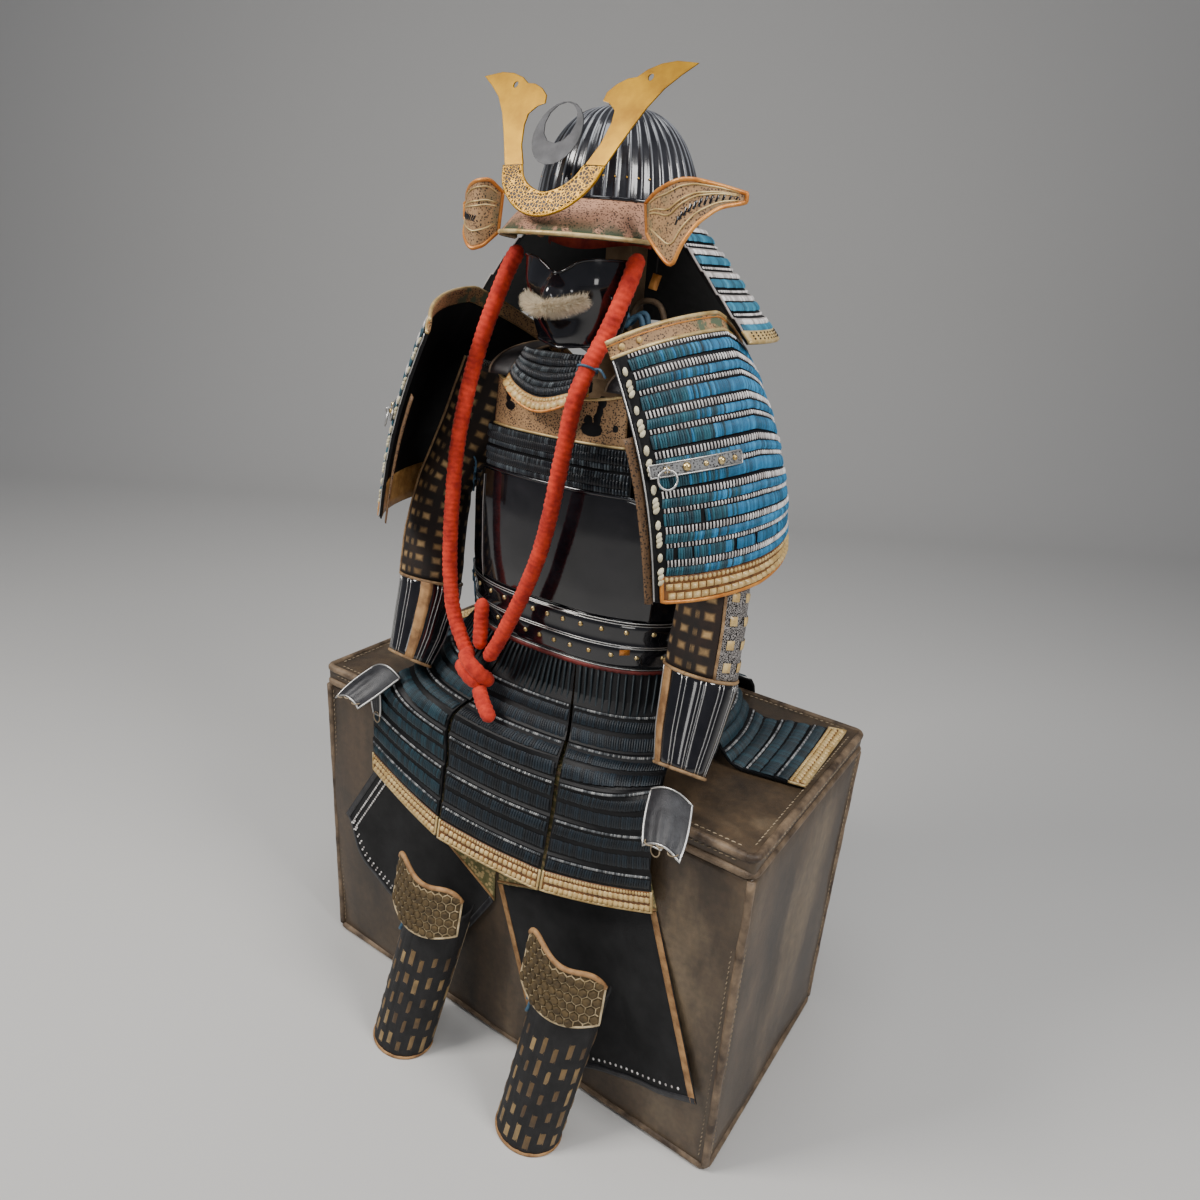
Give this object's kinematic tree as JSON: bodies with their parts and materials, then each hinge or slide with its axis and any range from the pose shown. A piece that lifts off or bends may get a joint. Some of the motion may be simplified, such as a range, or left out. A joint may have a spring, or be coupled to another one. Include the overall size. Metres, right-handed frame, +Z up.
{
  "type": "samurai armour on a stand with its trunk",
  "caption": "Laced Japanese armour with crested helmet, half mask, shoulder and shin guards, set on a wooden stand and its leather trunk.",
  "frame": {"origin": "centre of the trunk's underside", "axes": "+Z up, the armour faces -Y, +X is the wearer's left"},
  "size_m": [0.85, 0.6142, 1.538],
  "materials": {
    "trunk_leather": "worn brown leather over a wooden box",
    "wood": "plain planed wood",
    "printed_leather": "speckled printed leather",
    "blue_lacing": "light blue silk braid over black plates",
    "dark_lacing": "dark teal silk braid over black plates",
    "gilt": "gilt metal, satin",
    "dark_steel": "dull silvery metal",
    "red_crepe": "red-orange crepe",
    "fur": "short cream bristle",
    "brocade": "tan and olive brocade",
    "black_cloth": "black cloth",
    "black_lacquer": "black lacquer on iron and hide"
  },
  "bodies": {
    "armour": {"trunk_body": "trunk_leather", "trunk_lid": "trunk_leather", "stand": "wood", "helmet_bowl": "black_lacquer", "crown_fitting": "gilt", "peak": "printed_leather", "neck_guard": "blue_lacing", "crest_holder": "gilt", "horn_left": "gilt", "horn_right": "gilt", "crest_moon": "dark_steel", "face_mask": "black_lacquer", "moustache": "fur", "throat_guard": "dark_lacing", "front_plate": "black_lacquer", "back_plate": "black_lacquer", "waist_front": "black_lacquer", "waist_back": "black_lacquer", "upper_front_lames": "dark_lacing", "chest_plate": "printed_leather", "shoulder_strap_left": "black_cloth", "shoulder_strap_right": "black_cloth", "tasset_front": "dark_lacing", "tasset_front_left": "dark_lacing", "tasset_front_right": "dark_lacing", "tasset_side_left": "dark_lacing", "tasset_side_right": "dark_lacing", "tasset_back_left": "dark_lacing", "tasset_back_right": "dark_lacing", "turnback_left": "printed_leather", "sode_plate_left": "printed_leather", "sode_lames_left": "blue_lacing", "sode_fitting_left": "dark_steel", "sleeve_left": "brocade", "forearm_guard_left": "black_lacquer", "hand_guard_left": "black_cloth", "thumb_plate_left": "dark_steel", "turnback_right": "printed_leather", "sode_plate_right": "printed_leather", "sode_lames_right": "blue_lacing", "sode_fitting_right": "dark_steel", "sleeve_right": "brocade", "forearm_guard_right": "black_lacquer", "hand_guard_right": "black_cloth", "thumb_plate_right": "dark_steel", "apron_panel_left": "black_cloth", "apron_band_left": "brocade", "apron_panel_right": "black_cloth", "apron_band_right": "brocade", "shin_guard_left": "black_cloth", "knee_guard_left": "brocade", "shin_guard_right": "black_cloth", "knee_guard_right": "brocade", "cord_left": "red_crepe", "cord_right": "red_crepe", "cord_knot": "red_crepe", "cord_end_up": "red_crepe", "cord_end_down": "red_crepe"},
    "ring_left_body": {"ring_left": "dark_steel"},
    "ring_right_body": {"ring_right": "dark_steel"}
  },
  "joints": [
    {"name": "ring_left_swing", "type": "hinge", "parent": "armour", "child": "ring_left_body", "pos_m": [0.23858, -0.22492, 1.08725], "axis": [-0.6604, -0.731, -0.172], "range_deg": [0, 110]},
    {"name": "ring_right_swing", "type": "hinge", "parent": "armour", "child": "ring_right_body", "pos_m": [-0.23858, -0.22492, 1.08725], "axis": [-0.6604, 0.731, 0.172], "range_deg": [0, 110]}
  ]
}
